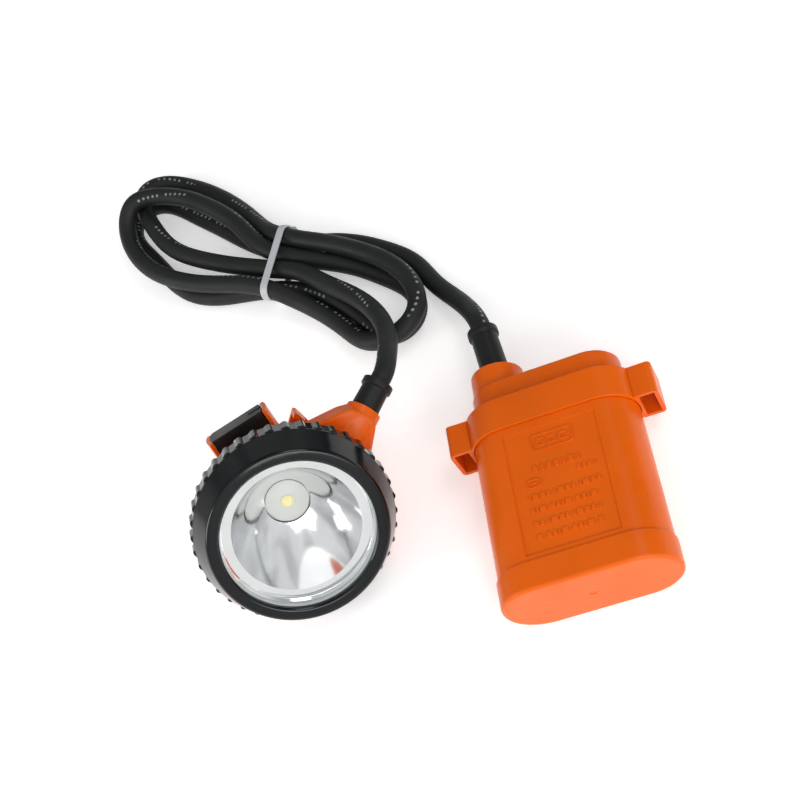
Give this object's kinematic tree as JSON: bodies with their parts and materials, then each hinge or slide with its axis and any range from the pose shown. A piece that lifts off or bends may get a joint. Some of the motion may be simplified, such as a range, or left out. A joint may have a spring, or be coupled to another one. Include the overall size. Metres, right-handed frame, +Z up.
{
  "type": "miner's cap lamp",
  "caption": "Miner's cap lamp: round tilted lamp head with knurled bezel and rotary switch, belt-worn battery pack with side loops, and a tied hank of cord between them.",
  "frame": {"origin": "bottom centre of the box round the rigid pieces (battery pack and lamp head), on the surface they lie on", "axes": "+X across the battery pack, from the lamp head towards the pack; +Y up the pack towards its cable end; +Z up, out of the pack's front face"},
  "size_m": [0.2469, 0.2939, 0.0773],
  "materials": {
    "orange_shell": "satin moulded plastic",
    "bezel_black": "gloss",
    "switch_black": "fine matt",
    "seal_rubber": "matt",
    "sleeve_rubber": "satin",
    "cord_rubber": "matt with faint printed dots",
    "tie_grey": "semi-translucent satin",
    "lens_clear": "polished",
    "reflector_mirror": "vacuum-metallised",
    "led_white": "satin",
    "led_phosphor": "satin",
    "heat_sink_aluminium": "turned",
    "board_green": "solder mask",
    "contact_brass": "bright",
    "steel": "plain",
    "nickel": "plain",
    "cell_can": "shrink wrap"
  },
  "bodies": {
    "pack_and_lamp": {"base_cap": "orange_shell", "battery_case": "orange_shell", "loop_band": "orange_shell", "top_cover": "orange_shell", "cover_seal": "seal_rubber", "cover_screw_1": "steel", "cover_screw_2": "steel", "cell_1": "cell_can", "cell_2": "cell_can", "cell_3": "cell_can", "cell_holder_bottom": "switch_black", "cell_holder_top": "switch_black", "nickel_strip_bottom": "nickel", "nickel_strip_top": "nickel", "protection_board": "board_green", "pack_strain_relief": "sleeve_rubber", "lamp_shell": "orange_shell", "head_seal": "seal_rubber", "reflector": "reflector_mirror", "led_board": "led_white", "led_emitter": "led_phosphor", "heat_sink": "heat_sink_aluminium", "driver_board": "board_green", "switch_body": "switch_black", "charge_stud_1": "contact_brass", "helmet_hook": "orange_shell", "hook_screw_1": "steel", "hook_screw_2": "steel", "lamp_strain_relief": "sleeve_rubber", "cord_hank": "cord_rubber", "cable_tie": "tie_grey", "cord_lead_pack": "cord_rubber", "cord_lead_lamp": "cord_rubber"},
    "switch": {"switch_knob": "switch_black", "switch_shaft": "steel"},
    "lens_stack": {"lens": "lens_clear", "lens_seal": "seal_rubber"},
    "bezel": {"bezel_ring": "bezel_black"}
  },
  "joints": [
    {"name": "switch_turn", "type": "hinge", "parent": "pack_and_lamp", "child": "switch", "pos_m": [-0.06607, 0.02812, 0.05963], "axis": [-0.1181, 0.5082, 0.8531], "range_deg": [-60, 60]},
    {"name": "bezel_advance", "type": "slide", "parent": "pack_and_lamp", "child": "lens_stack", "axis": [0.322, -0.7931, 0.517], "range_m": [0, 0.0092]},
    {"name": "bezel_turn", "type": "hinge", "parent": "lens_stack", "child": "bezel", "pos_m": [-0.0508, -0.0204, 0.0461], "axis": [0.322, -0.7931, 0.517], "range_deg": [0, 1080]}
  ],
  "couplings": [
    {"joint": "bezel_advance", "follows": "bezel_turn", "m_per_rad": 0.00047746}
  ]
}
